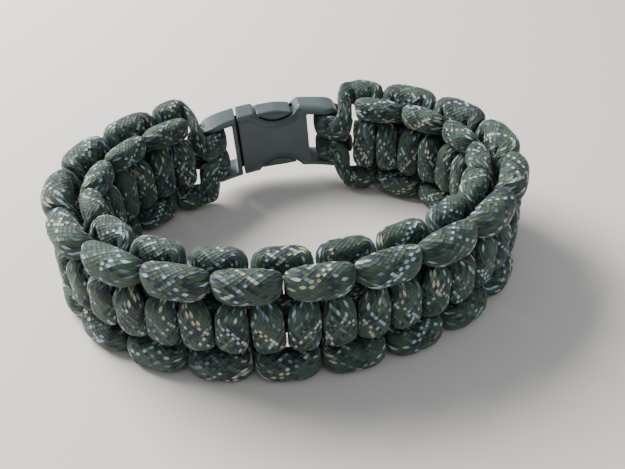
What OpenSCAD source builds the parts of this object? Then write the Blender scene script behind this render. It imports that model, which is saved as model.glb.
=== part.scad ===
// Cobra weave paracord bracelet, fastened, lying on its lower edge.
// X runs along the buckle, Y away from the front of the band, Z up from the lower edge.

/* [Cord] */
// Diameter of the cord before it is pulled into knots
cord_d = 4; // [3.6:0.1:4.4]
// Number of half knots in the band, an even number
knots = 32; // [28:2:36]
// Sides of a cord's cross section
cord_sides = 6; // [6:1:8]

/* [Ring] */
// Depth of the oval as a share of its width
oval_ratio = 0.715; // [0.6:0.005:1]

/* [Buckle] */
// Radius that the buckle is curved to, at the middle of its thickness
buckle_bend = 28; // [26:1:40]
// Thickness of the buckle's body
buckle_t = 5.6; // [5:0.1:6.5]
// Height of the socket at its widest, across the band
buckle_h = 14.4; // [13.8:0.1:15.4]
// Lean of the fastened buckle in the band, its right end up
buckle_lean = 3; // [0:0.5:4]
// Distance from the buckle's middle to the middle of each bar
bar_reach = 12.4; // [12:0.1:14]
// Diameter of each bar
bar_d = 2.2; // [1.8:0.1:2.6]
// Height of each bar's slot, which holds two turns of cord side by side
slot_h = 10.8; // [10.2:0.1:11]
// Width of each slot, from the bar to the body
slot_w = 3.9; // [3.6:0.1:4.1]
// Width of the plug's base, from the seam to its slot
base_w = 0.8; // [0.6:0.1:1.4]
// Gap between the plug's base and the socket's mouth
seam = 0.4; // [0.2:0.1:0.6]
// Wall of the socket
wall = 1.1; // [0.9:0.1:1.4]
// Clearance round the plug inside the socket
slide_gap = 0.3; // [0.2:0.05:0.5]
// Radius of the thumb window in the socket's edges
window_r = 5.2; // [4.6:0.1:5.6]
// Depth of the thumb window
window_depth = 2.5; // [2:0.1:3]
// Distance from the buckle's middle to the middle of the window
window_x = 1.4; // [1:0.1:2]
// Thickness of the plug's thumb buttons
button_t = 4.4; // [3.6:0.1:4.8]
// Height of each of the plug's arms
arm_h = 1.6; // [1.2:0.1:2]
// Height of the plug's guide tongue
tongue_h = 3.2; // [2:0.1:4]

/* [Hidden] */
$fn = 48;
shell_color = [0.27, 0.33, 0.30];
cord_color = [0.25, 0.31, 0.23];
core_color = [0.22, 0.27, 0.21];

// Weave sizes that the cord's diameter sets
pitch = 1.25 * cord_d;
cord_gap = 0.15;
// A section has corners at its thick middle, so its flat sides stand a little further out
flat_fill = 1.08;

// Columns of the tables: along in pitches from the bar, across and out in cord diameters,
// wide and thick in cord diameters, and the way the cord's flat face looks (along, across, out)
ALONG = 0;
ACROSS = 1;
OUT = 2;
WIDE = 3;
THICK = 4;
FACE_ALONG = 5;
FACE_ACROSS = 6;
FACE_OUT = 7;

// Half of a half knot, from the middle of a crossing to the middle of the loop at the edge: the front
// cord's loops lie inside the ring, where the bend squeezes them
FRONT_KNOT = [
    [ 0.00,  0.00,  0.82, 1.17, 0.78, 0, 0.00, 1.00],
    [-0.04,  0.72,  0.80, 1.12, 0.76, 0, 0.12, 1.00],
    [-0.18,  1.05,  0.44, 0.66, 0.46, 0, 0.65, 0.75],
    [-0.24,  1.22, -0.01, 0.50, 0.42, 0, 0.90, 0.45],
    [-0.25,  1.66, -0.38, 0.50, 0.70, 0, 1.00, 0.10],
    [-0.16,  1.94, -0.64, 0.72, 1.00, 0, 1.00, 0.00],
    [ 0.08,  1.98, -0.72, 0.98, 1.06, 0, 1.00, 0.00],
    [ 0.50,  1.98, -0.72, 1.02, 1.06, 0, 1.00, 0.00],
];

// The same of the back cord, before it is turned over: its loops lie outside, where they are full
BACK_KNOT = [
    [ 0.00,  0.00,  0.82, 1.17, 0.78, 0, 0.00, 1.00],
    [-0.04,  0.80,  0.78, 1.12, 0.76, 0, 0.12, 1.00],
    [-0.18,  1.13,  0.42, 0.66, 0.50, 0, 0.65, 0.75],
    [-0.24,  1.32, -0.01, 0.50, 0.48, 0, 0.90, 0.45],
    [-0.26,  1.75, -0.34, 0.50, 0.80, 0, 1.00, 0.10],
    [-0.18,  1.98, -0.62, 0.80, 1.20, 0, 1.00, 0.00],
    [ 0.06,  2.02, -0.70, 1.16, 1.28, 0, 1.00, 0.00],
    [ 0.50,  2.02, -0.70, 1.22, 1.28, 0, 1.00, 0.00],
];

// Run from the lower edge loop at the band's end to the bar, on the inner face
LOWER_RUN = [
    [-0.82, -1.88, -0.80, 0.90, 0.96, 0, -0.86, -0.50],
    [-0.97, -1.36, -0.90, 0.96, 0.76, 0, 0.00, -1.00],
];

// Run from the upper edge loop at the band's end over the edge to the bar
UPPER_RUN = [
    [-0.77,  2.02,  0.56, 0.74, 1.00, 0, 1.00, 0.10],
    [-0.88,  1.86,  0.02, 0.62, 0.84, 0, 0.98, 0.00],
    [-0.82,  1.48, -0.71, 0.66, 0.66, 0, 0.64, -0.77],
];

// Tail from the bar into the band on the outer side, where it meets the core cord
TAIL = [
    [-1.02,  0.57,  0.42, 1.06, 0.58, 0, 0, 1],
    [-0.84,  0.48,  0.06, 0.86, 0.70, 0, 0, 1],
    [-0.66,  0.44,  0.00, 0.78, 0.76, 0, 0, 1],
];

// Turn of cord round a bar: two turns lie side by side in a slot, with the same gap all round
wrap_steps = 4;
wrap_thick = 0.57 * cord_d;
wrap_wide = slot_h / 2 - 2 * cord_gap;
wrap_across = (wrap_wide + cord_gap) / 2;
wrap_r = (bar_d / 2 + cord_gap) / cos(90 / wrap_steps) + wrap_thick / 2;

// Where the cord comes on to the bar: distance before it, depth and share of the turn's width
entry_run = 1.7;
entry_out = 0.86 * cord_d;
entry_narrow = 0.9;

// Distance along the oval from a bar to the first half knot
lead = 1.2 * pitch + bar_d / 2;

// Core cords: flattened, side by side, from the tail at one end to the tail at the other
core_wide = 0.78;
core_thick = 0.78;
core_across = 0.43;
core_start = -0.54;

// The lean holds at the bar and fades out before the first loop at the edge
lean_hold = bar_d / 2 + 0.4;
lean_fade = lead - 0.68 * pitch;

// Oval ring: its size follows from the knots, the leads and the buckle
ring_steps = 360;
bar_angle = asin(bar_reach / buckle_bend);
buckle_run = buckle_bend * bar_angle * PI / 180;
function unit_oval(t) = [sin(t), oval_ratio * cos(t)];
function step_length(i) = norm(unit_oval(360 * (i + 1) / ring_steps) - unit_oval(360 * i / ring_steps));
function steps_sum(i, total) = i >= ring_steps ? total : steps_sum(i + 1, total + step_length(i));
unit_length = steps_sum(0, 0);
ring_length = (knots - 1) * pitch + 2 * lead + 2 * buckle_run;
oval_a = ring_length / unit_length;
oval_b = oval_ratio * oval_a;
ring_table = [
    for (i = 0, s = 0; i <= ring_steps; s = s + oval_a * step_length(i), i = i + 1)
    [s, 360 * i / ring_steps]
];
length_table = [for (row = ring_table) [row[1], row[0]]];

// The bars sit on the oval, and the knots share what is left of it
bar_t = asin(bar_reach / oval_a);
bar_y = oval_b * cos(bar_t);
bar_s = lookup(bar_t, length_table);
first_s = bar_s + lead;
knot_step = (ring_length - 2 * first_s) / (knots - 1);

// The origin is the middle of the box round the whole bracelet, and the edge loops stand on the floor
loop_points = [
    for (rows = [half_knot(FRONT_KNOT, 0), half_knot(BACK_KNOT, 0)], i = [0 : len(rows) - 1])
    each flat_section(rows, i)
];
half_band = max([for (p = loop_points) abs(p[1])]);
front_reach = oval_b + max([for (p = loop_points) abs(p[2])]);
bend_y = bar_y - buckle_bend * cos(bar_angle);
back_reach = bend_y + buckle_bend + buckle_t / 2;
mid_y = (back_reach - front_reach) / 2;

// Share of the buckle's lean that the band follows at a length along the oval
function lean_share(s) =
    let (
        reach = min(s, ring_length - s) - bar_s,
        t = min(1, max(0, (reach - lean_hold) / (lean_fade - lean_hold)))
    )
    1 - t * t * (3 - 2 * t);

// Point of the band: length along the oval, height across and distance outwards
function on_ring(s, across, out) =
    let (
        t = lookup(s, ring_table),
        n = unit([oval_b * sin(t), oval_a * cos(t)]),
        x = oval_a * sin(t) + out * n[0],
        lean = buckle_lean * lean_share(s)
    )
    [
        x * cos(lean) - across * sin(lean),
        oval_b * cos(t) + out * n[1] - mid_y,
        half_band + x * sin(lean) + across * cos(lean)
    ];

// Row of a table in millimetres, measured from the middle of half knot k
function in_mm(row, k, along_sign, across_sign) = [
    (k + along_sign * row[ALONG]) * knot_step,
    across_sign * row[ACROSS] * cord_d,
    row[OUT] * cord_d,
    row[WIDE] * cord_d,
    row[THICK] * cord_d,
    along_sign * row[FACE_ALONG],
    across_sign * row[FACE_ACROSS],
    row[FACE_OUT]
];

// One half knot, from the loop before it to the loop after it
function half_knot(table, k) =
    let (side = k % 2 == 0 ? 1 : -1, last = len(table) - 1)
    concat(
        [for (i = [last : -1 : 1]) if (i < last || k == 0) in_mm(table[i], k, -1, -side)],
        [for (i = [0 : last]) in_mm(table[i], k, 1, side)]
    );

function all_knots(table) = [for (k = [0 : knots - 1]) each half_knot(table, k)];

// A cord seen from the other face: turned half round about the band's own length
function turned(rows) = [
    for (r = rows) [
        r[ALONG],
        -r[ACROSS],
        -r[OUT],
        r[WIDE],
        r[THICK],
        r[FACE_ALONG],
        -r[FACE_ACROSS],
        -r[FACE_OUT]
    ]
];

// The same rows mirrored to the band's other end
function at_far_end(rows) = [
    for (r = rows) [
        (knots - 1) * knot_step - r[ALONG],
        r[ACROSS],
        r[OUT],
        r[WIDE],
        r[THICK],
        -r[FACE_ALONG],
        r[FACE_ACROSS],
        r[FACE_OUT]
    ]
];

// Turn of cord round the bar, from the inner face to the outer one
function bar_turn(side) = [
    [-lead + entry_run, side * wrap_across, -entry_out, entry_narrow * wrap_wide, wrap_thick, 0, 0, -1],
    for (i = [0 : wrap_steps])
    let (c = cos(180 * i / wrap_steps), s = sin(180 * i / wrap_steps))
    [-lead - wrap_r * s, side * wrap_across, -wrap_r * c, wrap_wide, wrap_thick, -s, 0, -c]
];

// Whole end of a working cord, from the band's first loop round the bar to the tail
function cord_end(run, side) = concat(
    [for (row = run) in_mm(row, 0, 1, 1)],
    bar_turn(side),
    [for (row = TAIL) in_mm(row, 0, 1, side)]
);

function reversed(rows) = [for (i = [len(rows) - 1 : -1 : 0]) rows[i]];

function working_cord(knot_rows, end_rows) = concat(reversed(end_rows), knot_rows, at_far_end(end_rows));

// Cross section of a cord at row i, squared to the cord's own direction, in the straight band
function unit(v) = v / norm(v);
function place(r) = [r[ALONG], r[ACROSS], r[OUT]];
function flat_section(rows, i) =
    let (
        here = rows[i],
        before = rows[max(i - 1, 0)],
        after = rows[min(i + 1, len(rows) - 1)],
        forward = unit(place(after) - place(before)),
        look = [here[FACE_ALONG], here[FACE_ACROSS], here[FACE_OUT]],
        face = unit(look - (look * forward) * forward),
        flat = cross(forward, face)
    )
    [
        for (j = [0 : cord_sides - 1])
        let (turn = 90 + 360 * j / cord_sides)
        place(here) + flat_fill * here[WIDE] / 2 * cos(turn) * flat + here[THICK] / 2 * sin(turn) * face
    ];

// Closed tube through the rows of a cord
module cord_tube(rows) {
    last = len(rows) - 1;
    points = [for (i = [0 : last], p = flat_section(rows, i)) on_ring(first_s + p[0], p[1], p[2])];
    walls = [
        for (i = [0 : last - 1], j = [0 : cord_sides - 1])
        let (a = i * cord_sides + j, b = i * cord_sides + (j + 1) % cord_sides)
        each [[a, b + cord_sides, b], [a, a + cord_sides, b + cord_sides]]
    ];
    start_cap = [for (j = [0 : cord_sides - 1]) j];
    end_cap = [for (j = [cord_sides - 1 : -1 : 0]) last * cord_sides + j];
    polyhedron(points = points, faces = concat(walls, [start_cap, end_cap]), convexity = 10);
}

// Working cord whose crossings lie on the outer face
module cord_front() {
    color(cord_color)
        cord_tube(working_cord(all_knots(FRONT_KNOT), cord_end(LOWER_RUN, -1)));
}

// Working cord whose crossings lie on the inner face
module cord_back() {
    color(cord_color)
        cord_tube(working_cord(turned(all_knots(BACK_KNOT)), cord_end(UPPER_RUN, 1)));
}

// Core cord that the knots are tied round, between the tails of a working cord
function core_rows(side) = [
    for (k = [core_start, each [0 : knots - 1], knots - 1 - core_start])
    in_mm([0, core_across, 0, core_wide, core_thick, 0, 0, 1], k, 1, side)
];

module core_upper() {
    color(core_color)
        cord_tube(core_rows(1));
}

module core_lower() {
    color(core_color)
        cord_tube(core_rows(-1));
}

// Buckle sizes that follow from the driving ones
edge_r = 2;
body_x = bar_reach - bar_d / 2 - slot_w;
end_x = bar_reach + bar_d / 2;
plug_x = body_x - base_w;
mouth_x = plug_x - seam;
mouth_half = buckle_h / 2 - 0.5;
base_half = mouth_half - 0.1;

// The rounded ends start this far down their slots, and the socket's ears stand highest here
rail_foot = slot_h / 2 - 0.2;
ear_r = 3.5;
ear_mid = end_x - ear_r;
ear_drop = 0.1;
plug_mid = plug_x + 0.8;
arc_step = 10;

// Bars are let into the rails, and the rails' inner corners are cut straight across
bar_hold = 0.5;
corner_w = 3;
corner_x = end_x - corner_w;
corner_y = sqrt(pow(buckle_bend - buckle_t / 2, 2) - corner_x * corner_x);

// Hollow of the socket, and the plug's stub, arms and tongue inside it
cavity_t = buckle_t - 2 * wall;
cavity_r = 0.4;
cavity_half = mouth_half - wall;
end_wall = 1.2;
cavity_x = body_x - end_wall;
tip_gap = 0.5;
arm_t = cavity_t - 2 * slide_gap;
arm_r = 0.3;
arm_out = cavity_half - slide_gap;
arm_end = cavity_x - tip_gap;
arm_root = plug_x + 0.5;
stub_run = 1.5;

// Thumb buttons: they fill the windows near the seam and are lower at the tips
button_r = 0.8;
button_drop = 1;
button_half = mouth_half - 0.2;

// Longer than anything it cuts through
big = 4 * buckle_h;

// Moves a shape to the centre of the buckle's bend, leaning as the fastened buckle does
module at_bend() {
    translate([0, bend_y - mid_y, half_band])
        rotate([0, -buckle_lean, 0])
            children();
}

// Slab curved to the buckle's bend, with rounded long edges
module bent_slab(t, h, r) {
    rotate_extrude($fn = 180) {
        translate([buckle_bend - t / 2 + r, -h / 2])
            square([t - 2 * r, h]);
        translate([buckle_bend - t / 2, r - h / 2])
            square([t, h - 2 * r]);
        for (side = [-1, 1], rim = [-1, 1])
            translate([buckle_bend + side * (t / 2 - r), rim * (h / 2 - r)])
                circle(r);
    }
}

// Outline in X and Z, pushed through the back of the ring
module through_back() {
    translate([0, buckle_bend + big / 2, 0])
        rotate([90, 0, 0])
            linear_extrude(big)
                children();
}

// Outline with the same shape above and below
module both_halves(upper) {
    polygon(concat(upper, [for (i = [len(upper) - 1 : -1 : 0]) [upper[i][0], -upper[i][1]]]));
}

// Rounded end of an outline, from its highest point down to the slot
function end_arc(mid_x, top) = [
    for (t = [90 : -arc_step : 0])
    [mid_x + (end_x - mid_x) * cos(t), rail_foot + (top - rail_foot) * sin(t)]
];

module window_outline(gap) {
    for (side = [-1, 1])
        translate([window_x, side * (mouth_half - window_depth + window_r)])
            circle(window_r - gap, $fn = 64);
}

module slot_outline() {
    translate([body_x, -slot_h / 2])
        square([slot_w + bar_d, slot_h]);
}

// Post that two turns of cord pass round, let into the rails at both ends
module bar() {
    translate([bar_reach, buckle_bend * cos(bar_angle), -slot_h / 2 - bar_hold])
        cylinder(d = bar_d, h = slot_h + 2 * bar_hold);
}

// Inner corner that is cut off the rails, clear of the cords that come round the bar
module rail_corner() {
    translate([corner_x, corner_y - buckle_t, -buckle_h])
        cube([buckle_t, buckle_t, 2 * buckle_h]);
}

module buckle_socket() {
    color(shell_color)
        at_bend()
            union() {
                difference() {
                    intersection() {
                        bent_slab(buckle_t, buckle_h, edge_r);
                        through_back()
                            both_halves(concat(
                                [
                                    [-mouth_x, mouth_half],
                                    [window_x, mouth_half],
                                    [window_x + window_r, buckle_h / 2 - ear_drop]
                                ],
                                end_arc(ear_mid, buckle_h / 2)
                            ));
                    }
                    intersection() {
                        bent_slab(cavity_t, 2 * cavity_half, cavity_r);
                        through_back()
                            translate([-plug_x, -cavity_half])
                                square([plug_x + cavity_x, 2 * cavity_half]);
                    }
                    through_back()
                        window_outline(0);
                    through_back()
                        slot_outline();
                    rail_corner();
                }
                bar();
            }
}

module buckle_plug() {
    color(shell_color)
        at_bend()
            union() {
                mirror([1, 0, 0])
                    difference() {
                        intersection() {
                            bent_slab(buckle_t, buckle_h, edge_r);
                            through_back()
                                both_halves(concat([[plug_x, base_half]], end_arc(plug_mid, base_half)));
                        }
                        through_back()
                            slot_outline();
                        rail_corner();
                    }
                mirror([1, 0, 0])
                    bar();
                intersection() {
                    bent_slab(arm_t, 2 * arm_out, arm_r);
                    through_back() {
                        for (side = [-1, 1])
                            translate([-arm_root, side * (arm_out - arm_h / 2) - arm_h / 2])
                                square([arm_root + arm_end, arm_h]);
                        translate([-arm_root, -tongue_h / 2])
                            square([arm_root + window_x, tongue_h]);
                        translate([-arm_root, -arm_out])
                            square([arm_root - mouth_x + stub_run, 2 * arm_out]);
                    }
                }
                intersection() {
                    bent_slab(button_t, 2 * button_half, button_r);
                    through_back()
                        intersection() {
                            window_outline(slide_gap);
                            both_halves([
                                [window_x - window_r, button_half - button_drop / 4],
                                [window_x, button_half],
                                [window_x + window_r, button_half - button_drop]
                            ]);
                        }
                }
            }
}

buckle_socket();
buckle_plug();
cord_front();
cord_back();
core_upper();
core_lower();
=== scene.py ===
"""Cobra weave paracord bracelet, fastened, on a plain pale floor under soft studio light.

Every length in the tables and dataclasses is in millimetres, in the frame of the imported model: X runs
along the buckle, Y from the front of the band to the back and Z up from the lower edge. Meshes are put
into Blender in metres.
"""

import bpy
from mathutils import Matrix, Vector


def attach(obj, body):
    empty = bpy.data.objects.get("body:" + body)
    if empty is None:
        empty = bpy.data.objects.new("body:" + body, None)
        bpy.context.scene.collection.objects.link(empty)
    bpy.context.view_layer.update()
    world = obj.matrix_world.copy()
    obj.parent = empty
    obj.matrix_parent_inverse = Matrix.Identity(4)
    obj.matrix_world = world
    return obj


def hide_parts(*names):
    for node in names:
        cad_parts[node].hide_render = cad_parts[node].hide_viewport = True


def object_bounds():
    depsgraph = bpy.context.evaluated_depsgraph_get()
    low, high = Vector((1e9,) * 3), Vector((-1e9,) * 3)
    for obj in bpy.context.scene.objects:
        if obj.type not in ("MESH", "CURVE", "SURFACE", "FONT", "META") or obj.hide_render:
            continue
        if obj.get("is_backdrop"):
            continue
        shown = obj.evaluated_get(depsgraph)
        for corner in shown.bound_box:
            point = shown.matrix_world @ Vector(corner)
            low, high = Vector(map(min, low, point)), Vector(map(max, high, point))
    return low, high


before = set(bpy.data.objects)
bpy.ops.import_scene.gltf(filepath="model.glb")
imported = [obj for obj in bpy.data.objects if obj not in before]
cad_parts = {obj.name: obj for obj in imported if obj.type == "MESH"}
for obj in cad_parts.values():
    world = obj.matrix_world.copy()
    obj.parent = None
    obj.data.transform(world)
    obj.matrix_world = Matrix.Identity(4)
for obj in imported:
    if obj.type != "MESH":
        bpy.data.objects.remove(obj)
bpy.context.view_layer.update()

import logging
import math
from dataclasses import dataclass, field
from enum import Enum, IntEnum
from typing import Sequence

import bpy
import numpy as np
from mathutils import Matrix, Vector

log = logging.getLogger("bracelet")

Array = np.ndarray
Colour = tuple[float, float, float]
Socket = bpy.types.NodeSocket

MM = 0.001


class Column(IntEnum):
    """Columns of the weave tables."""

    ALONG = 0
    ACROSS = 1
    OUT = 2
    WIDE = 3
    THICK = 4
    FACE_ALONG = 5
    FACE_ACROSS = 6
    FACE_OUT = 7


class Body(Enum):
    """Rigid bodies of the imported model."""

    ROOT = "root"


class Slot(Enum):
    """Material slots of the record."""

    BUCKLE = "buckle"
    CORD = "cord"
    CORE = "core"


# Half of a half knot, from the middle of a crossing to the middle of the loop at the edge. Along is in
# pitches from the crossing; across, out, wide and thick are in cord diameters; the last three say which
# way the cord's flat face looks (along, across, out). The front cord's loops lie inside the ring, where
# the bend squeezes them.
FRONT_KNOT = (
    (0.00, 0.00, 0.82, 1.17, 0.78, 0, 0.00, 1.00),
    (-0.04, 0.72, 0.80, 1.12, 0.76, 0, 0.12, 1.00),
    (-0.18, 1.05, 0.44, 0.66, 0.46, 0, 0.65, 0.75),
    (-0.24, 1.22, -0.01, 0.50, 0.42, 0, 0.90, 0.45),
    (-0.25, 1.66, -0.38, 0.50, 0.70, 0, 1.00, 0.10),
    (-0.16, 1.94, -0.64, 0.72, 1.00, 0, 1.00, 0.00),
    (0.08, 1.98, -0.72, 0.98, 1.06, 0, 1.00, 0.00),
    (0.50, 1.98, -0.72, 1.02, 1.06, 0, 1.00, 0.00),
)

# The same of the back cord, before it is turned over: its loops lie outside, where they are full.
BACK_KNOT = (
    (0.00, 0.00, 0.82, 1.17, 0.78, 0, 0.00, 1.00),
    (-0.04, 0.80, 0.78, 1.12, 0.76, 0, 0.12, 1.00),
    (-0.18, 1.13, 0.42, 0.66, 0.50, 0, 0.65, 0.75),
    (-0.24, 1.32, -0.01, 0.50, 0.48, 0, 0.90, 0.45),
    (-0.26, 1.75, -0.34, 0.50, 0.80, 0, 1.00, 0.10),
    (-0.18, 1.98, -0.62, 0.80, 1.20, 0, 1.00, 0.00),
    (0.06, 2.02, -0.70, 1.16, 1.28, 0, 1.00, 0.00),
    (0.50, 2.02, -0.70, 1.22, 1.28, 0, 1.00, 0.00),
)

# Run from the lower edge loop at the band's end to the bar, on the inner face.
LOWER_RUN = (
    (-0.82, -1.88, -0.80, 0.90, 0.96, 0, -0.86, -0.50),
    (-0.97, -1.36, -0.90, 0.96, 0.76, 0, 0.00, -1.00),
)

# Run from the upper edge loop at the band's end over the edge to the bar.
UPPER_RUN = (
    (-0.77, 2.02, 0.56, 0.74, 1.00, 0, 1.00, 0.10),
    (-0.88, 1.86, 0.02, 0.62, 0.84, 0, 0.98, 0.00),
    (-0.82, 1.48, -0.71, 0.66, 0.66, 0, 0.64, -0.77),
)

# Tail from the bar into the band on the outer side, where it meets the core cord.
TAIL = (
    (-1.02, 0.57, 0.42, 1.06, 0.58, 0, 0, 1),
    (-0.84, 0.48, 0.06, 0.86, 0.70, 0, 0, 1),
    (-0.66, 0.44, 0.00, 0.78, 0.76, 0, 0, 1),
)


def unit_rows(vectors: Array) -> Array:
    """Scales each row to length one.

    Args:
        vectors: Rows of vectors.

    Returns:
        The same rows, each divided by its own length.
    """
    return vectors / np.linalg.norm(vectors, axis=-1, keepdims=True)


def smoothstep(value: Array) -> Array:
    """Eases from 0 to 1: three times the square less twice the cube, clipped to 0 and 1.

    Args:
        value: Where each point is on the way, 0 to 1 and beyond.

    Returns:
        The eased share of each point.
    """
    clipped = np.clip(value, 0.0, 1.0)
    return clipped * clipped * (3.0 - 2.0 * clipped)


@dataclass(frozen=True)
class BraceletSizes:
    """The sizes that the bracelet is built from, as in the part's source."""

    cord_d: float = 4.0
    knots: int = 32
    oval_ratio: float = 0.715
    buckle_bend: float = 28.0
    buckle_t: float = 5.6
    buckle_h: float = 14.4
    buckle_lean: float = 3.0
    bar_reach: float = 12.4
    bar_d: float = 2.2
    slot_h: float = 10.8
    window_x: float = 1.4
    window_r: float = 5.2
    window_depth: float = 2.5
    cord_gap: float = 0.15
    entry_run: float = 1.7
    entry_narrow: float = 0.9
    core_wide: float = 0.78
    core_thick: float = 0.78
    core_across: float = 0.43
    core_start: float = -0.54
    pitch_share: float = 1.25
    lead_share: float = 1.2
    wrap_share: float = 0.57
    entry_share: float = 0.86
    mouth_inset: float = 0.5

    @property
    def pitch(self) -> float:
        """Distance between half knots, from the cord's diameter."""
        return self.pitch_share * self.cord_d

    @property
    def lead(self) -> float:
        """Distance along the oval from a bar to the first half knot."""
        return self.lead_share * self.pitch + self.bar_d / 2

    @property
    def wrap_thick(self) -> float:
        """Thickness of the cord where it turns round a bar."""
        return self.wrap_share * self.cord_d

    @property
    def wrap_wide(self) -> float:
        """Width of the cord where it turns round a bar: half a slot less its gaps."""
        return self.slot_h / 2 - 2 * self.cord_gap

    @property
    def wrap_across(self) -> float:
        """Distance of a turn's middle from the middle of the band."""
        return (self.wrap_wide + self.cord_gap) / 2

    @property
    def wrap_r(self) -> float:
        """Radius of the middle of a turn round a bar."""
        return (self.bar_d / 2 + self.cord_gap) / math.cos(math.pi / 8) + self.wrap_thick / 2

    @property
    def entry_out(self) -> float:
        """Depth of the cord where it comes on to the bar."""
        return self.entry_share * self.cord_d

    @property
    def bar_angle(self) -> float:
        """Angle of a bar round the buckle's bend, in radians."""
        return math.asin(self.bar_reach / self.buckle_bend)

    @property
    def mouth_half(self) -> float:
        """Half of the socket's height at its mouth."""
        return self.buckle_h / 2 - self.mouth_inset


class Ring:
    """The oval that the band follows: flat lengths go on to it by arc length.

    Attributes:
        sizes: The bracelet's sizes.
        half_band: Half of the band's height, which lifts it on to the floor.
        mid_y: Shift that puts the origin in the middle of the whole bracelet.
    """

    STEPS = 3600
    LEAN_PAST_BAR = 0.4
    LEAN_GONE = 0.68

    def __init__(self, sizes: BraceletSizes, half_band: float, front_depth: float) -> None:
        """Works out the oval from the knots, the leads and the buckle.

        Args:
            sizes: The bracelet's sizes.
            half_band: Half of the band's height.
            front_depth: How far the band stands out from the oval.
        """
        self.sizes = sizes
        self.half_band = half_band
        turn = np.linspace(0.0, 2 * np.pi, self.STEPS + 1)
        unit = np.stack([np.sin(turn), sizes.oval_ratio * np.cos(turn)], axis=1)
        lengths = np.concatenate([[0.0], np.cumsum(np.linalg.norm(np.diff(unit, axis=0), axis=1))])
        buckle_run = sizes.buckle_bend * sizes.bar_angle
        self.length = (sizes.knots - 1) * sizes.pitch + 2 * sizes.lead + 2 * buckle_run
        self.a = self.length / lengths[-1]
        self.b = sizes.oval_ratio * self.a
        self._turn = turn
        self._lengths = self.a * lengths
        bar_turn = math.asin(sizes.bar_reach / self.a)
        self.bar_s = float(np.interp(bar_turn, turn, self._lengths))
        self.first_s = self.bar_s + sizes.lead
        self.knot_step = (self.length - 2 * self.first_s) / (sizes.knots - 1)
        bar_y = self.b * math.cos(bar_turn)
        self.bend_y = bar_y - sizes.buckle_bend * math.cos(sizes.bar_angle)
        back_reach = self.bend_y + sizes.buckle_bend + sizes.buckle_t / 2
        self.mid_y = (back_reach - (self.b + front_depth)) / 2

    def lean(self, length: Array) -> Array:
        """Angle that the band takes from the leaning buckle, in radians.

        The whole lean holds up to just past a bar and eases out before the first loop at the edge.

        Args:
            length: Lengths along the oval.

        Returns:
            The angle at each length.
        """
        sizes = self.sizes
        hold = sizes.bar_d / 2 + self.LEAN_PAST_BAR
        fade = sizes.lead - self.LEAN_GONE * sizes.pitch
        reach = np.minimum(length, self.length - length) - self.bar_s
        return math.radians(sizes.buckle_lean) * (1.0 - smoothstep((reach - hold) / (fade - hold)))

    def place(self, points: Array) -> Array:
        """Puts points of the straight band on the oval.

        A point goes to the oval's point at its length, then out along the oval's normal by its out, and
        is last turned about Y by the lean.

        Args:
            points: Rows of along (from the first half knot), across and out.

        Returns:
            Rows of X, Y and Z.
        """
        length = points[..., 0] + self.first_s
        turn = np.interp(length, self._lengths, self._turn)
        normal = unit_rows(np.stack([self.b * np.sin(turn), self.a * np.cos(turn)], axis=-1))
        x = self.a * np.sin(turn) + points[..., 2] * normal[..., 0]
        y = self.b * np.cos(turn) + points[..., 2] * normal[..., 1] - self.mid_y
        lean = self.lean(length)
        z = self.half_band + x * np.sin(lean) + points[..., 1] * np.cos(lean)
        return np.stack([x * np.cos(lean) - points[..., 1] * np.sin(lean), y, z], axis=-1)


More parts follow.
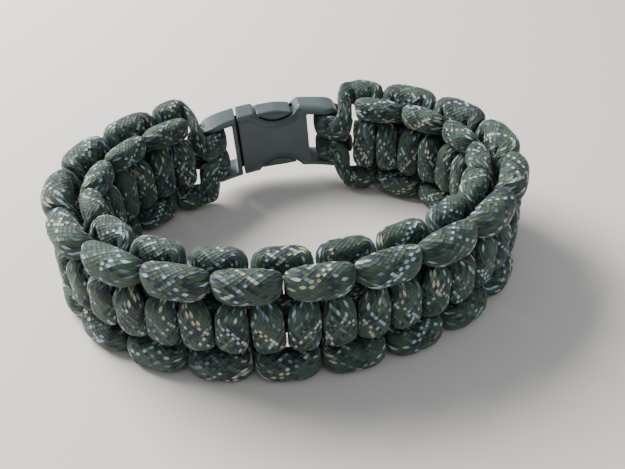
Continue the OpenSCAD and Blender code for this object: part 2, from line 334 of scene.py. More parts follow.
@dataclass
class Weave:
    """Rows of the working cords and the core cords in the straight band."""

    sizes: BraceletSizes
    knot_step: float

    def _in_mm(self, rows: Sequence[Sequence[float]], knot: float, along: int, across: int) -> Array:
        """Table rows in millimetres, measured from the middle of a half knot.

        Args:
            rows: Rows of a table.
            knot: Number of the half knot.
            along: 1, or -1 for rows that run back towards the start.
            across: 1, or -1 for rows at the lower edge.

        Returns:
            The rows in millimetres.
        """
        table = np.array(rows, dtype=float)
        table[:, Column.ALONG] = (knot + along * table[:, Column.ALONG]) * self.knot_step
        table[:, Column.ACROSS] *= across * self.sizes.cord_d
        table[:, Column.OUT : Column.FACE_ALONG] *= self.sizes.cord_d
        table[:, Column.FACE_ALONG] *= along
        table[:, Column.FACE_ACROSS] *= across
        return table

    def _knots(self, table: Sequence[Sequence[float]]) -> Array:
        """Rows of all the half knots, whose loops alternate from edge to edge.

        Args:
            table: Table of half of a half knot.

        Returns:
            The rows in millimetres.
        """
        parts = []
        for knot in range(self.sizes.knots):
            side = 1 if knot % 2 == 0 else -1
            before = self._in_mm(table[:0:-1], knot, -1, -side)
            parts.append(before if knot == 0 else before[1:])
            parts.append(self._in_mm(table, knot, 1, side))
        return np.concatenate(parts)

    @staticmethod
    def _turned(rows: Array) -> Array:
        """The same rows turned half round about the band's length."""
        signs = np.array([1, -1, -1, 1, 1, 1, -1, -1])
        return rows * signs

    def _far_end(self, rows: Array) -> Array:
        """The same rows mirrored to the band's other end."""
        mirrored = rows * np.array([-1, 1, 1, 1, 1, -1, 1, 1])
        mirrored[:, Column.ALONG] += (self.sizes.knots - 1) * self.knot_step
        return mirrored

    def _bar_turn(self, side: int) -> Array:
        """Rows where the cord comes on to the bar and goes round it to the outer side.

        Args:
            side: 1 for the upper half of the bar and -1 for the lower.

        Returns:
            The rows of the turn.
        """
        sizes = self.sizes
        across = side * sizes.wrap_across
        entry = [
            [-sizes.lead + sizes.entry_run, across, -sizes.entry_out, sizes.entry_narrow * sizes.wrap_wide]
            + [sizes.wrap_thick, 0, 0, -1]
        ]
        turn = np.linspace(0.0, np.pi, 9)
        even = np.ones_like(turn)
        around = np.stack(
            [
                -sizes.lead - sizes.wrap_r * np.sin(turn),
                across * even,
                -sizes.wrap_r * np.cos(turn),
                sizes.wrap_wide * even,
                sizes.wrap_thick * even,
                -np.sin(turn),
                0 * even,
                -np.cos(turn),
            ],
            axis=1,
        )
        return np.concatenate([np.array(entry, dtype=float), around])

    def _cord_end(self, run: Sequence[Sequence[float]], side: int) -> Array:
        """Rows from the band's first loop, round the bar, to the tail.

        Args:
            run: Table of the run to the bar.
            side: 1 for the upper half of the bar and -1 for the lower.

        Returns:
            The rows of the whole end.
        """
        return np.concatenate(
            [self._in_mm(run, 0, 1, 1), self._bar_turn(side), self._in_mm(TAIL, 0, 1, side)]
        )

    def _whole(self, knots: Array, end: Array) -> Array:
        """A whole working cord: an end, the knots and the mirrored end."""
        return np.concatenate([end[::-1], knots, self._far_end(end)])

    def front(self) -> Array:
        """Rows of the working cord whose crossings lie on the outer face."""
        return self._whole(self._knots(FRONT_KNOT), self._cord_end(LOWER_RUN, -1))

    def back(self) -> Array:
        """Rows of the working cord whose crossings lie on the inner face."""
        return self._whole(self._turned(self._knots(BACK_KNOT)), self._cord_end(UPPER_RUN, 1))

    def core(self, side: int) -> Array:
        """Rows of a core cord, straight through the band.

        Args:
            side: 1 for the upper core cord and -1 for the lower.

        Returns:
            The rows of the core cord.
        """
        sizes = self.sizes
        first, last = sizes.core_start, sizes.knots - 1 - sizes.core_start
        along = np.concatenate([[first], np.arange(sizes.knots), [last]])
        row = [0, sizes.core_across, 0, sizes.core_wide, sizes.core_thick, 0, 0, 1]
        return np.concatenate([self._in_mm([row], knot, 1, side) for knot in along])


@dataclass
class CordTube:
    """A cord swept through its rows, with a rounded flat section and its own sheath coordinates.

    Attributes:
        name: Name of the piece.
        nodes: CAD nodes that the piece stands for.
        rows: Rows of the cord in the straight band.
        slot: The record's material slot.
        sides: Sides of the section.
        spacing: Distance between sections along the cord.
        squareness: Power of the section's outline: 2 is an ellipse and more is fuller.
        slack: How much the width and thickness wander along the cord, as a share.
        seed: Seed of the wandering.
    """

    name: str
    nodes: tuple[str, ...]
    rows: Array
    slot: Slot
    sides: int = 28
    spacing: float = 0.42
    squareness: float = 2.6
    slack: float = 0.02
    seed: int = 1

    def _spline(self) -> Array:
        """Even stations along the cord.

        A Catmull-Rom curve goes through the rows: half of twice the second point, plus the step from
        the first to the third by t, plus the usual squares and cubes of t. It is cut finely, its length
        is summed, and every column is read off at even lengths.

        Returns:
            Rows like the table's, evenly spaced along the cord.
        """
        rows = self.rows
        p0 = np.concatenate([rows[:1], rows[:-2]])[:, None]
        p1, p2 = rows[:-1][:, None], rows[1:][:, None]
        p3 = np.concatenate([rows[2:], rows[-1:]])[:, None]
        t = (np.arange(10) / 10)[None, :, None]
        curve = 0.5 * (
            2 * p1
            + (p2 - p0) * t
            + (2 * p0 - 5 * p1 + 4 * p2 - p3) * t**2
            + (3 * p1 - p0 - 3 * p2 + p3) * t**3
        )
        fine = np.concatenate([curve.reshape(-1, rows.shape[1]), rows[-1:]])
        steps = np.linalg.norm(np.diff(fine[:, :3], axis=0), axis=1)
        length = np.concatenate([[0.0], np.cumsum(steps)])
        even = np.linspace(0.0, length[-1], int(length[-1] / self.spacing) + 1)
        return np.stack([np.interp(even, length, column) for column in fine.T], axis=1)

    def _wander(self, count: int) -> Array:
        """A slow, seeded wander between about -1 and 1: the sum of four sines of random length.

        Args:
            count: Number of stations.

        Returns:
            Its value at each station.
        """
        random = np.random.default_rng(self.seed)
        station = np.arange(count) * self.spacing
        shortest, longest, terms, peak = 9.0, 37.0, 4, 2.2
        waves = random.uniform(shortest, longest, terms)[:, None]
        phases = random.uniform(0.0, 2 * np.pi, terms)[:, None]
        return np.sin(2 * np.pi * station[None] / waves + phases).sum(axis=0) / peak

    def _sections(self, stations: Array) -> Array:
        """Outline points of every section in the straight band.

        The face vector is squared to the cord's direction, and the outline is a superellipse: cosine
        and sine, each to the power of two over the squareness, times half the width and thickness.

        Args:
            stations: Even stations along the cord.

        Returns:
            Points by station and side.
        """
        centre = stations[:, :3]
        forward = unit_rows(np.gradient(centre, axis=0))
        look = stations[:, Column.FACE_ALONG :]
        face = unit_rows(look - (look * forward).sum(axis=1, keepdims=True) * forward)
        flat = np.cross(forward, face)
        angle = 2 * np.pi * np.arange(self.sides) / self.sides
        power = 2.0 / self.squareness
        cosine = np.sign(np.cos(angle)) * np.abs(np.cos(angle)) ** power
        sine = np.sign(np.sin(angle)) * np.abs(np.sin(angle)) ** power
        wander = 1.0 + self.slack * self._wander(len(stations))
        wide = (stations[:, Column.WIDE] / 2 * wander)[:, None, None]
        thick = (stations[:, Column.THICK] / 2 * wander)[:, None, None]
        return (
            centre[:, None]
            + flat[:, None] * wide * cosine[None, :, None]
            + face[:, None] * thick * sine[None, :, None]
        )

    def build(self, ring: Ring) -> bpy.types.Object:
        """Builds the tube, with its ends capped and its UV map.

        The UV map's U goes once round the cord, by the length round each section's outline over the
        whole outline, and V is the length along the cord in millimetres.

        Args:
            ring: The oval that the band follows.

        Returns:
            The cord's object, riding on the root in place of its CAD nodes.
        """
        stations = self._spline()
        count, sides = len(stations), self.sides
        sections = self._sections(stations)
        points = ring.place(sections).reshape(-1, 3) * MM
        along, around = np.meshgrid(np.arange(count - 1), np.arange(sides), indexing="ij")
        after = (around + 1) % sides
        quads = np.stack(
            [
                along * sides + around,
                (along + 1) * sides + around,
                (along + 1) * sides + after,
                along * sides + after,
            ],
            axis=-1,
        ).reshape(-1, 4)
        start = np.arange(sides)
        end = (count - 1) * sides + np.arange(sides)[::-1]
        mesh = bpy.data.meshes.new(self.name)
        corners = np.concatenate([quads.ravel(), start, end])
        sizes = np.concatenate([np.full(len(quads), 4), [sides, sides]])
        fill_mesh(mesh, points, corners, sizes)
        steps = np.linalg.norm(np.roll(sections, -1, axis=1) - sections, axis=2)
        shares = np.concatenate([np.zeros((count, 1)), np.cumsum(steps, axis=1)], axis=1)
        shares /= shares[:, -1:]
        turn = np.stack(
            [
                shares[along, around],
                shares[along + 1, around],
                shares[along + 1, around + 1],
                shares[along, around + 1],
            ],
            axis=-1,
        )
        length = np.stack([along, along + 1, along + 1, along], axis=-1) * self.spacing
        wall = np.stack([turn.reshape(-1), length.reshape(-1)], axis=1)
        caps = np.stack([np.tile(start / sides, 2), np.repeat([0.0, count * self.spacing], sides)], axis=1)
        layer = mesh.uv_layers.new(name="sheath")
        layer.data.foreach_set("uv", np.concatenate([wall, caps]).astype(np.float32).ravel())
        obj = bpy.data.objects.new(self.name, mesh)
        bpy.context.scene.collection.objects.link(obj)
        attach(obj, Body.ROOT.value)
        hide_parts(*self.nodes)
        return obj


def fill_mesh(mesh: bpy.types.Mesh, points: Array, corners: Array, sizes: Array) -> None:
    """Puts whole arrays of points and faces into an empty mesh.

    Args:
        mesh: The empty mesh.
        points: Rows of X, Y and Z in metres.
        corners: Point numbers of all the faces, one face after another.
        sizes: Number of corners of each face.
    """
    mesh.vertices.add(len(points))
    mesh.vertices.foreach_set("co", points.astype(np.float32).ravel())
    mesh.loops.add(len(corners))
    mesh.loops.foreach_set("vertex_index", corners.astype(np.int32))
    mesh.polygons.add(len(sizes))
    starts = np.concatenate([[0], np.cumsum(sizes)[:-1]])
    mesh.polygons.foreach_set("loop_start", starts.astype(np.int32))
    mesh.polygons.foreach_set("loop_total", sizes.astype(np.int32))
    mesh.polygons.foreach_set("use_smooth", np.ones(len(sizes), dtype=bool))
    mesh.update(calc_edges=True)
    mesh.validate()


@dataclass
class BuckleHalf:
    """One moulded half of the buckle: the CAD shape with softened edges.

    Attributes:
        name: Name of the piece.
        node: CAD node that the piece stands for.
        voxel: Size of the cells that the shape is meshed with.
        rounds: Passes of smoothing that soften the edges.
        window: Whether the rim of the thumb windows is bevelled.
    """

    name: str
    node: str
    voxel: float = 0.17
    rounds: int = 7
    window: bool = False

    def _bevel_window(self, points: Array, normals: Array, sizes: BraceletSizes, ring: Ring) -> Array:
        """Bevels the rim of the thumb windows.

        A point closer to the window's circle than the bevel is wide moves in along its normal, by the
        share of the bevel that it lies inside.

        Args:
            points: Rows of X, Y and Z in millimetres.
            normals: The points' normals.
            sizes: The bracelet's sizes.
            ring: The oval that the band follows.

        Returns:
            The moved points.
        """
        lean = math.radians(sizes.buckle_lean)
        height = points[:, 2] - ring.half_band
        x = points[:, 0] * math.cos(lean) + height * math.sin(lean)
        z = np.abs(height * math.cos(lean) - points[:, 0] * math.sin(lean))
        centre_z = sizes.mouth_half - sizes.window_depth + sizes.window_r
        reach = np.hypot(x - sizes.window_x, z - centre_z) - sizes.window_r
        width, depth, inside, below_edge = 1.1, 0.75, 0.3, 0.4
        share = np.clip(1.0 - reach / width, 0.0, 1.0) * (reach > -inside)
        share = share * (z < sizes.mouth_half - below_edge)
        across = np.abs(normals[:, 1])
        return points - normals * (depth * share * across**2)[:, None]

    def build(self, sizes: BraceletSizes, ring: Ring) -> bpy.types.Object:
        """Remeshes the CAD node finely and softens it.

        Each pass moves every point towards the mean of its neighbours and then back by slightly more,
        which rounds the edges without shrinking the part.

        Args:
            sizes: The bracelet's sizes.
            ring: The oval that the band follows.

        Returns:
            The half's object, riding on the root in place of its CAD node.
        """
        obj = bpy.data.objects.new(self.name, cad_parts[self.node].data.copy())
        bpy.context.scene.collection.objects.link(obj)
        obj.data.materials.clear()
        remesh = obj.modifiers.new("cells", "REMESH")
        remesh.mode = "VOXEL"
        remesh.voxel_size = self.voxel * MM
        depsgraph = bpy.context.evaluated_depsgraph_get()
        mesh = bpy.data.meshes.new_from_object(obj.evaluated_get(depsgraph))
        obj.modifiers.clear()
        obj.data = mesh
        mesh.name = self.name
        count = len(mesh.vertices)
        points = np.empty(count * 3, dtype=np.float32)
        mesh.vertices.foreach_get("co", points)
        points = points.reshape(-1, 3).astype(float) / MM
        edges = np.empty(len(mesh.edges) * 2, dtype=np.int32)
        mesh.edges.foreach_get("vertices", edges)
        edges = edges.reshape(-1, 2)
        if self.window:
            normals = np.empty(count * 3, dtype=np.float32)
            mesh.vertices.foreach_get("normal", normals)
            points = self._bevel_window(points, normals.reshape(-1, 3).astype(float), sizes, ring)
        points = self._soften(points, edges)
        mesh.vertices.foreach_set("co", (points * MM).astype(np.float32).ravel())
        mesh.polygons.foreach_set("use_smooth", np.ones(len(mesh.polygons), dtype=bool))
        mesh.update()
        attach(obj, Body.ROOT.value)
        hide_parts(self.node)
        return obj

    def _soften(self, points: Array, edges: Array) -> Array:
        """Rounds the edges: a step to the neighbours' mean and a slightly longer step back.

        Args:
            points: Rows of X, Y and Z.
            edges: Point numbers of every edge.

        Returns:
            The softened points.
        """
        both = np.concatenate([edges, edges[:, ::-1]])
        count = np.bincount(both[:, 0], minlength=len(points))[:, None]
        shrink, swell = 0.6, -0.32
        for step in [shrink, swell] * self.rounds:
            total = np.stack(
                [np.bincount(both[:, 0], points[both[:, 1], axis], len(points)) for axis in range(3)],
                axis=1,
            )
            points = points + step * (total / count - points)
        return points


class Graph:
    """A material's node tree, with short calls that add and link its nodes."""

    def __init__(self, name: str) -> None:
        """Starts a material with a Principled shader.

        Args:
            name: Name of the material.
        """
        self.material = bpy.data.materials.new(name)
        self.material.use_nodes = True
        self.tree = self.material.node_tree
        self.tree.nodes.clear()
        self.shader = self.tree.nodes.new("ShaderNodeBsdfPrincipled")
        output = self.tree.nodes.new("ShaderNodeOutputMaterial")
        self.tree.links.new(self.shader.outputs["BSDF"], output.inputs["Surface"])

    def put(self, socket: Socket, value: Socket | float | Sequence[float]) -> None:
        """Links a socket or sets its value.

        Args:
            socket: The input socket.
            value: An output socket to link, or a value to set.
        """
        if isinstance(value, bpy.types.NodeSocket):
            self.tree.links.new(value, socket)
        else:
            socket.default_value = value

    def math(self, operation: str, *values: Socket | float, clamp: bool = False) -> Socket:
        """Adds a Math node.

        Args:
            operation: The node's operation.
            *values: Its inputs.
            clamp: Whether the result is held between 0 and 1.

        Returns:
            Its output.
        """
        node = self.tree.nodes.new("ShaderNodeMath")
        node.operation = operation
        node.use_clamp = clamp
        for socket, value in zip(node.inputs, values):
            self.put(socket, value)
        return node.outputs[0]

    def mix(self, share: Socket | float, first: Socket | float, second: Socket | float) -> Socket:
        """Adds a Mix node for numbers: the first value, or the second where the share is 1."""
        node = self.tree.nodes.new("ShaderNodeMix")
        self.put(node.inputs["Factor"], share)
        self.put(node.inputs[2], first)
        self.put(node.inputs[3], second)
        return node.outputs[0]

    def blend(
        self,
        share: Socket | float,
        first: Socket | Sequence[float],
        second: Socket | Sequence[float],
        mode: str = "MIX",
    ) -> Socket:
        """Adds a Mix node for colours.

        Args:
            share: How much of the second colour there is.
            first: The first colour.
            second: The second colour.
            mode: How they are mixed.

        Returns:
            The mixed colour.
        """
        node = self.tree.nodes.new("ShaderNodeMix")
        node.data_type = "RGBA"
        node.blend_type = mode
        self.put(node.inputs[0], share)
        for socket, value in ((node.inputs[6], first), (node.inputs[7], second)):
            colour = value if isinstance(value, bpy.types.NodeSocket) else (*value, 1.0)
            self.put(socket, colour)
        return node.outputs[2]

    def noise(self, vector: Socket, scale: float, detail: float = 2.0) -> Socket:
        """Adds a noise texture and gives its value.

        Args:
            vector: Coordinates that it reads.
            scale: Its scale.
            detail: Its number of octaves.

        Returns:
            The noise, about 0 to 1.
        """
        node = self.tree.nodes.new("ShaderNodeTexNoise")
        self.put(node.inputs["Vector"], vector)
        node.inputs["Scale"].default_value = scale
        node.inputs["Detail"].default_value = detail
        return node.outputs["Fac"]

    def bump(self, height: Socket, distance: float, strength: float = 1.0) -> None:
        """Gives the shader a bump.

        Args:
            height: The height, about 0 to 1.
            distance: Depth of the whole height in metres.
            strength: Share of the bump that shows.
        """
        node = self.tree.nodes.new("ShaderNodeBump")
        node.inputs["Strength"].default_value = strength
        node.inputs["Distance"].default_value = distance
        self.put(node.inputs["Height"], height)
        self.tree.links.new(node.outputs["Normal"], self.shader.inputs["Normal"])

    def chance(self, first: Socket, second: Socket, seed: float) -> Socket:
        """A number between 0 and 1, drawn anew for each pair of whole numbers.

        Args:
            first: First whole number.
            second: Second whole number.
            seed: Seed of the draw.

        Returns:
            The drawn number.
        """
        place = self.tree.nodes.new("ShaderNodeCombineXYZ")
        for socket, value in zip(place.inputs, (first, second, seed)):
            self.put(socket, value)
        draw = self.tree.nodes.new("ShaderNodeTexWhiteNoise")
        self.tree.links.new(place.outputs["Vector"], draw.inputs["Vector"])
        return draw.outputs["Value"]

    def coordinates(self) -> Socket:
        """Adds the object's own coordinates, in metres."""
        return self.tree.nodes.new("ShaderNodeTexCoord").outputs["Object"]


class Yarn(Enum):
    """Colours of the sheath's yarns."""

    OLIVE = (0.064, 0.094, 0.054)
    MOSS = (0.040, 0.078, 0.056)
    CHARCOAL = (0.010, 0.020, 0.030)
    MIST = (0.130, 0.180, 0.205)
    PALE = (0.33, 0.44, 0.51)
    TAN = (0.43, 0.415, 0.30)


@dataclass(frozen=True)
class SheathFinish:
    """Braided sheath of the cord: olive and dark yarns, with pale and tan flecks in pairs.

    Attributes:
        name: Name of the material.
        cells: Cells of the braid for each millimetre of cord.
        first: Yarns that wind one way, in order round the cord.
        second: Yarns that wind the other way.
        shown: Share of the cells that show their own yarn's colour.
        seeds: Seeds of the two families' chances.
        fibre_waves: Fibres across a yarn.
        crown_power: How blunt a yarn is across itself, below 1 for blunter.
        dip_power: How blunt a yarn is along a cell.
        dip_share: Share of the height that is lost where a yarn goes under.
        plain_patches: Scale of the plain yarns' patches, where they turn dark and how fast.
        gap_edge: Height where the plain ground gives way to the yarn and how fast.
        worn: Scale of the worn patches, their darkest value and their gain.
        crown_highlight: How much lighter a yarn is painted on its crown: painted highlight there, painted
            shade in the grooves.
        fibre_highlight: How much lighter a fibre's ridge is painted: painted highlight along the fibres'
            relief.
        fibre_relief: Height of a fibre beside the yarn's.
        relief_depth: Depth of the relief in metres.
        relief_strength: Strength of the relief.
    """

    name: str = "braided_sheath"
    cells: float = 1.12
    first: tuple[Yarn, ...] = (
        (Yarn.OLIVE, Yarn.MOSS, Yarn.PALE, Yarn.PALE, Yarn.CHARCOAL, Yarn.OLIVE, Yarn.MIST, Yarn.MOSS)
        + (Yarn.OLIVE, Yarn.MOSS, Yarn.TAN, Yarn.TAN, Yarn.CHARCOAL, Yarn.MOSS, Yarn.PALE, Yarn.CHARCOAL)
        + (Yarn.OLIVE, Yarn.MOSS, Yarn.MIST, Yarn.OLIVE)
    )
    second: tuple[Yarn, ...] = (
        (Yarn.MOSS, Yarn.OLIVE, Yarn.CHARCOAL, Yarn.MIST, Yarn.OLIVE, Yarn.PALE, Yarn.OLIVE, Yarn.CHARCOAL)
        + (Yarn.MIST, Yarn.OLIVE, Yarn.CHARCOAL, Yarn.MOSS, Yarn.TAN, Yarn.MIST, Yarn.OLIVE, Yarn.CHARCOAL)
        + (Yarn.OLIVE, Yarn.PALE, Yarn.MOSS, Yarn.OLIVE)
    )
    shown: float = 0.62
    seeds: tuple[float, float] = (1.5, 7.5)
    fibre_waves: int = 4
    crown_power: float = 0.6
    dip_power: float = 0.5
    dip_share: float = 0.6
    plain_patches: tuple[float, float, float] = (300.0, 0.47, 7.0)
    gap_edge: tuple[float, float] = (0.22, 3.2)
    worn: tuple[float, float, float] = (420.0, 0.12, 1.7)
    crown_highlight: float = 0.40
    fibre_highlight: float = 0.05
    fibre_relief: float = 0.08
    relief_depth: float = 0.00016
    relief_strength: float = 0.7

    def _ramp(self, graph: Graph, carrier: Socket, yarns: Sequence[Yarn]) -> Socket:
        """Colour of each yarn that winds one way.

        Args:
            graph: The material's node tree.
            carrier: Number of the yarn.
            yarns: The yarns, in order round the cord.

        Returns:
            The yarn's colour.
        """
        node = graph.tree.nodes.new("ShaderNodeValToRGB")
        node.color_ramp.interpolation = "CONSTANT"
        elements = node.color_ramp.elements
        elements.remove(elements[-1])
        for number, yarn in enumerate(yarns):
            element = elements[0] if number == 0 else elements.new(number / len(yarns))
            element.position = number / len(yarns)
            element.color = (*yarn.value, 1.0)
        share = graph.math("DIVIDE", graph.math("ADD", carrier, 0.5), float(len(yarns)))
        graph.put(node.inputs["Fac"], share)
        return node.outputs["Color"]

    def _family(
        self, graph: Graph, own: Socket, other: Socket, yarns: Sequence[Yarn], ground: Socket, seed: float
    ) -> Socket:
        """Colour of the cells where one family of yarns lies on top.

        By chance, two neighbouring cells of a yarn both show its colour or both show a plain yarn. The
        chance goes by the yarn's number and by a quarter of the difference of the two numbers, which
        grows only along the cord, so it has no seam.

        Args:
            graph: The material's node tree.
            own: Whole number of the family's yarn.
            other: Whole number of the yarn that it crosses.
            yarns: The family's yarns, in order round the cord.
            ground: Colour of the plain yarn.
            seed: Seed of the family's chance.

        Returns:
            The colour.
        """
        carrier = graph.math("FLOORED_MODULO", own, float(len(yarns)))
        colour = self._ramp(graph, carrier, yarns)
        pair = graph.math("FLOOR", graph.math("MULTIPLY", graph.math("SUBTRACT", own, other), 0.25))
        shown = graph.math("LESS_THAN", graph.chance(carrier, pair, seed), self.shown)
        return graph.blend(shown, ground, colour)

    def build(self) -> bpy.types.Material:
        """Builds the braid from the sheath's UV map.

        Two families of yarns wind round the cord: their numbers are the whole parts of the turn times
        the yarns plus and minus the length times the cells. Where the numbers' sum is even the first
        family lies on top, elsewhere the second. A yarn is round across itself and dips where it goes
        under, and fine fibres run along it.

        Returns:
            The material.
        """
        graph = Graph(self.name)
        node = graph.tree.nodes.new("ShaderNodeUVMap")
        node.uv_map = "sheath"
        split = graph.tree.nodes.new("ShaderNodeSeparateXYZ")
        graph.tree.links.new(node.outputs["UV"], split.inputs["Vector"])
        turn = graph.math("MULTIPLY", split.outputs["X"], float(len(self.first)))
        length = graph.math("MULTIPLY", split.outputs["Y"], self.cells)
        first = graph.math("ADD", turn, length)
        second = graph.math("SUBTRACT", turn, length)
        first_number, second_number = graph.math("FLOOR", first), graph.math("FLOOR", second)
        top = graph.math("FLOORED_MODULO", graph.math("ADD", first_number, second_number), 2.0)
        first_share, second_share = graph.math("FRACT", first), graph.math("FRACT", second)
        across = graph.mix(top, first_share, second_share)
        along = graph.mix(top, second_share, first_share)
        round_across = graph.math("SINE", graph.math("MULTIPLY", across, math.pi))
        round_along = graph.math("SINE", graph.math("MULTIPLY", along, math.pi))
        fibres = graph.math("SINE", graph.math("MULTIPLY", across, 2 * self.fibre_waves * math.pi))
        crown = graph.math("POWER", graph.math("MAXIMUM", round_across, 0.0), self.crown_power)
        dip = graph.math("POWER", graph.math("MAXIMUM", round_along, 0.0), self.dip_power)
        above = graph.math("ADD", graph.math("MULTIPLY", dip, self.dip_share), 1.0 - self.dip_share)
        height = graph.math("MULTIPLY", crown, above)

        patch_scale, patch_edge, patch_gain = self.plain_patches
        patches = graph.noise(graph.coordinates(), patch_scale, 2.0)
        dark = graph.math("MULTIPLY", graph.math("SUBTRACT", patches, patch_edge), patch_gain, clamp=True)
        ground = graph.blend(dark, Yarn.MOSS.value, Yarn.CHARCOAL.value)
        one_way = self._family(graph, first_number, second_number, self.first, ground, self.seeds[0])
        other_way = self._family(graph, second_number, first_number, self.second, ground, self.seeds[1])
        gap_edge, gap_gain = self.gap_edge
        body = graph.math("MULTIPLY", graph.math("SUBTRACT", height, gap_edge), gap_gain, clamp=True)
        yarn = graph.blend(body, ground, graph.blend(top, one_way, other_way))
        worn_scale, worn_least, worn_gain = self.worn
        worn = graph.noise(graph.coordinates(), worn_scale, 3.0)
        # Painted shade and highlight: the colour is lighter on each yarn's crown and fibre ridges and
        # darker in the grooves, where shade falls; the worn noise adds random tone on top.
        crown_shading = graph.math("MULTIPLY", height, self.crown_highlight)
        level = graph.math("ADD", crown_shading, graph.math("MULTIPLY", fibres, self.fibre_highlight))
        patchy = graph.math("MULTIPLY", graph.math("SUBTRACT", worn, worn_least), worn_gain)
        level = graph.math("ADD", level, patchy)
        grey = graph.tree.nodes.new("ShaderNodeCombineColor")
        for socket in grey.inputs:
            graph.put(socket, level)
        colour = graph.blend(1.0, yarn, grey.outputs["Color"], "MULTIPLY")
        graph.put(graph.shader.inputs["Base Color"], colour)
        graph.shader.inputs["Roughness"].default_value = 0.62
        graph.shader.inputs["Sheen Weight"].default_value = 0.12
        graph.shader.inputs["Sheen Roughness"].default_value = 0.45
        graph.shader.inputs["Specular IOR Level"].default_value = 0.35
        relief = graph.math("ADD", height, graph.math("MULTIPLY", fibres, self.fibre_relief))
        graph.bump(relief, self.relief_depth, self.relief_strength)
        return graph.material


@dataclass(frozen=True)
class MouldedFinish:
    """Satin moulded plastic with a fine grain and slightly lighter worn patches where a noise cloud is
    high.
    """

    name: str = "moulded_plastic"
    colour: Colour = (0.066, 0.085, 0.090)
    worn: Colour = (0.088, 0.112, 0.118)
    cloud_scale: float = 180.0
    grain_scale: float = 4200.0
    wear_from: float = 0.42
    wear_gain: float = 2.2
    least_rough: float = 0.30
    grain_rough: float = 0.10
    cloud_relief: float = 0.6
    relief_depth: float = 0.00003
    relief_strength: float = 0.5

    def build(self) -> bpy.types.Material:
        """Builds the plastic from noise in the object's own coordinates.

        Returns:
            The material.
        """
        graph = Graph(self.name)
        place = graph.coordinates()
        cloud = graph.noise(place, self.cloud_scale, 4.0)
        grain = graph.noise(place, self.grain_scale, 2.0)
        past = graph.math("SUBTRACT", cloud, self.wear_from)
        wear = graph.math("MULTIPLY", past, self.wear_gain, clamp=True)
        graph.put(graph.shader.inputs["Base Color"], graph.blend(wear, self.colour, self.worn))
        rough = graph.math("ADD", graph.math("MULTIPLY", grain, self.grain_rough), self.least_rough)
        graph.put(graph.shader.inputs["Roughness"], rough)
        graph.shader.inputs["Specular IOR Level"].default_value = 0.5
        relief = graph.math("ADD", grain, graph.math("MULTIPLY", cloud, self.cloud_relief))
        graph.bump(relief, self.relief_depth, self.relief_strength)
        return graph.material


@dataclass(frozen=True)
class FloorFinish:
    """Plain pale floor."""

    name: str = "pale_floor"
    colour: Colour = (0.75, 0.70, 0.65)

    def build(self) -> bpy.types.Material:
        """Builds the floor's plain matt surface.

        Returns:
            The material.
        """
        graph = Graph(self.name)
        graph.shader.inputs["Base Color"].default_value = (*self.colour, 1.0)
        graph.shader.inputs["Roughness"].default_value = 0.85
        return graph.material


@dataclass(frozen=True)
class SoftLight:
    """One square soft light.

    Attributes:
        name: Name of the light.
        place: Where it stands, in metres.
        size: Its width in metres.
        power: Its power in watts.
        colour: Its colour.
    """

    name: str
    place: tuple[float, float, float]
    size: float
    power: float
    colour: Colour = (1.0, 1.0, 1.0)

    def build(self, target: Vector) -> bpy.types.Object:
        """Builds the light, turned to its target.

        Args:
            target: The point that it looks at, in metres.

        Returns:
            The light's object.
        """
        data = bpy.data.lights.new(self.name, "AREA")
        data.shape = "SQUARE"
        data.size = self.size
        data.energy = self.power
        data.color = self.colour
        obj = bpy.data.objects.new(self.name, data)
        obj.location = self.place
        obj.rotation_euler = (target - Vector(self.place)).to_track_quat("-Z", "Y").to_euler()
        bpy.context.scene.collection.objects.link(obj)
        return obj


@dataclass
class Studio:
    """Floor, lights and sky round the bracelet."""

    floor: FloorFinish = field(default_factory=FloorFinish)
    sky: Colour = (0.80, 0.86, 0.92)
    sky_strength: float = 0.50
    lights: tuple[SoftLight, ...] = (
        SoftLight("key_light", (-0.28, 0.28, 0.34), 0.30, 7.2, (1.0, 0.98, 0.95)),
        SoftLight("fill_light", (0.30, -0.34, 0.30), 0.40, 0.4, (0.93, 0.97, 1.0)),
    )

    def build(self) -> None:
        """Builds the floor, the lights and the sky."""
        half = 1.5
        points = np.array([[-half, -half, 0], [half, -half, 0], [half, half, 0], [-half, half, 0]])
        mesh = bpy.data.meshes.new("floor")
        fill_mesh(mesh, points, np.arange(4), np.array([4]))
        mesh.materials.append(self.floor.build())
        obj = bpy.data.objects.new("floor", mesh)
        bpy.context.scene.collection.objects.link(obj)
        obj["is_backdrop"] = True
        for light in self.lights:
            light.build(Vector((0.0, 0.0, 0.01)))
        world = bpy.data.worlds.new("soft_sky")
        world.use_nodes = True
        background = world.node_tree.nodes["Background"]
        background.inputs["Color"].default_value = (*self.sky, 1.0)
        background.inputs["Strength"].default_value = self.sky_strength
        bpy.context.scene.world = world


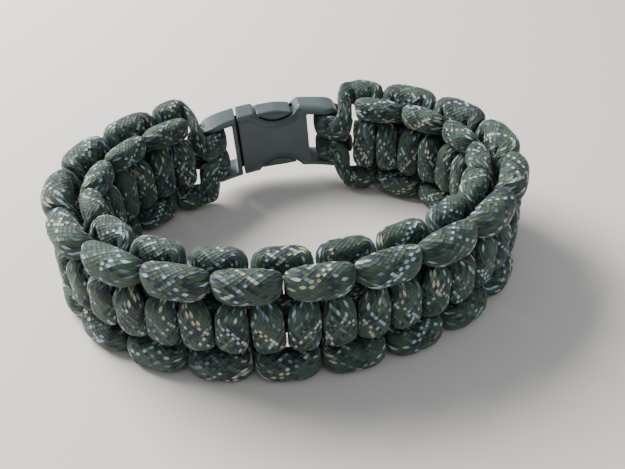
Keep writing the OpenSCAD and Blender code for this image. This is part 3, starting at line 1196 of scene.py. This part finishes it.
@dataclass(frozen=True)
class PhotoCamera:
    """Camera at the photograph's viewing angle.

    Attributes:
        azimuth: Angle round the bracelet in degrees, 0 looking along +Y.
        elevation: Angle above the floor in degrees.
        distance: Distance from the point that it looks at.
        roll: Turn of the picture in degrees.
        target: The point that it looks at, from the floor under the oval's middle.
        focal: Lens for a 36 mm wide sensor.
    """

    azimuth: float = -9.42
    elevation: float = 38.06
    distance: float = 152.05
    roll: float = -1.71
    target: tuple[float, float, float] = (4.92, 7.27, -0.94)
    focal: float = 45.13

    def build(self, ring: Ring) -> bpy.types.Object:
        """Builds the camera and makes it the scene's.

        Args:
            ring: The oval that the band follows.

        Returns:
            The camera's object.
        """
        a, e, r = (math.radians(value) for value in (self.azimuth, self.elevation, self.roll))
        back = Vector((math.sin(a) * math.cos(e), -math.cos(a) * math.cos(e), math.sin(e)))
        right = (-back).cross(Vector((0, 0, 1))).normalized()
        up = right.cross(-back)
        x_axis = math.cos(r) * right + math.sin(r) * up
        y_axis = math.cos(r) * up - math.sin(r) * right
        target = Vector(self.target) - Vector((0.0, ring.mid_y, 0.0))
        place = (target + self.distance * back) * MM
        data = bpy.data.cameras.new("photo_camera")
        data.sensor_fit = "HORIZONTAL"
        data.sensor_width = 36.0
        data.lens = self.focal
        data.clip_start = 0.005
        data.clip_end = 20.0
        obj = bpy.data.objects.new("photo_camera", data)
        axes = Matrix((x_axis, y_axis, back)).transposed().to_4x4()
        obj.matrix_world = Matrix.Translation(place) @ axes
        bpy.context.scene.collection.objects.link(obj)
        bpy.context.scene.camera = obj
        return obj


@dataclass
class Bracelet:
    """The whole bracelet: four cords and two buckle halves."""

    sizes: BraceletSizes = field(default_factory=BraceletSizes)
    sheath: SheathFinish = field(default_factory=SheathFinish)
    plastic: MouldedFinish = field(default_factory=MouldedFinish)

    def ring(self) -> Ring:
        """The oval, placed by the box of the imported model.

        Half of the band's height is half of the model's height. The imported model's Y runs as far to the
        front as to the back, so the band's front depth is the whole depth less the back's reach.

        Returns:
            The oval that the band follows.
        """
        low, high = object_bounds()
        half_band = (high[2] - low[2]) / 2 / MM
        trial = Ring(self.sizes, half_band, 0.0)
        back_reach = trial.bend_y + self.sizes.buckle_bend + self.sizes.buckle_t / 2
        front_depth = (high[1] - low[1]) / MM - back_reach - trial.b
        return Ring(self.sizes, half_band, front_depth)

    def build(self) -> Ring:
        """Builds and dresses every piece.

        Returns:
            The oval that the band follows.
        """
        ring = self.ring()
        weave = Weave(self.sizes, ring.knot_step)
        sheath, plastic = self.sheath.build(), self.plastic.build()
        cords = (
            CordTube("front_cord", ("cord_front",), weave.front(), Slot.CORD, seed=3),
            CordTube("back_cord", ("cord_back",), weave.back(), Slot.CORD, seed=7),
            CordTube("upper_core", ("core_upper",), weave.core(1), Slot.CORE, sides=20, slack=0.0),
            CordTube("lower_core", ("core_lower",), weave.core(-1), Slot.CORE, sides=20, slack=0.0),
        )
        for cord in cords:
            self._dress(cord.build(ring), sheath)
        halves = (
            BuckleHalf("socket_half", "buckle_socket", window=True),
            BuckleHalf("plug_half", "buckle_plug"),
        )
        for half in halves:
            self._dress(half.build(self.sizes, ring), plastic)
        return ring

    @staticmethod
    def _dress(obj: bpy.types.Object, material: bpy.types.Material) -> None:
        """Gives a piece its material and reports it.

        Args:
            obj: The piece.
            material: Its material.
        """
        obj.data.materials.append(material)
        log.info("%s: %d faces", obj.name, len(obj.data.polygons))


def main() -> None:
    """Builds the camera, the bracelet and the studio."""
    logging.basicConfig(level=logging.INFO, format="%(name)s %(message)s")
    ring = Bracelet().build()
    PhotoCamera().build(ring)
    Studio().build()


if __name__ == "__main__":
    main()
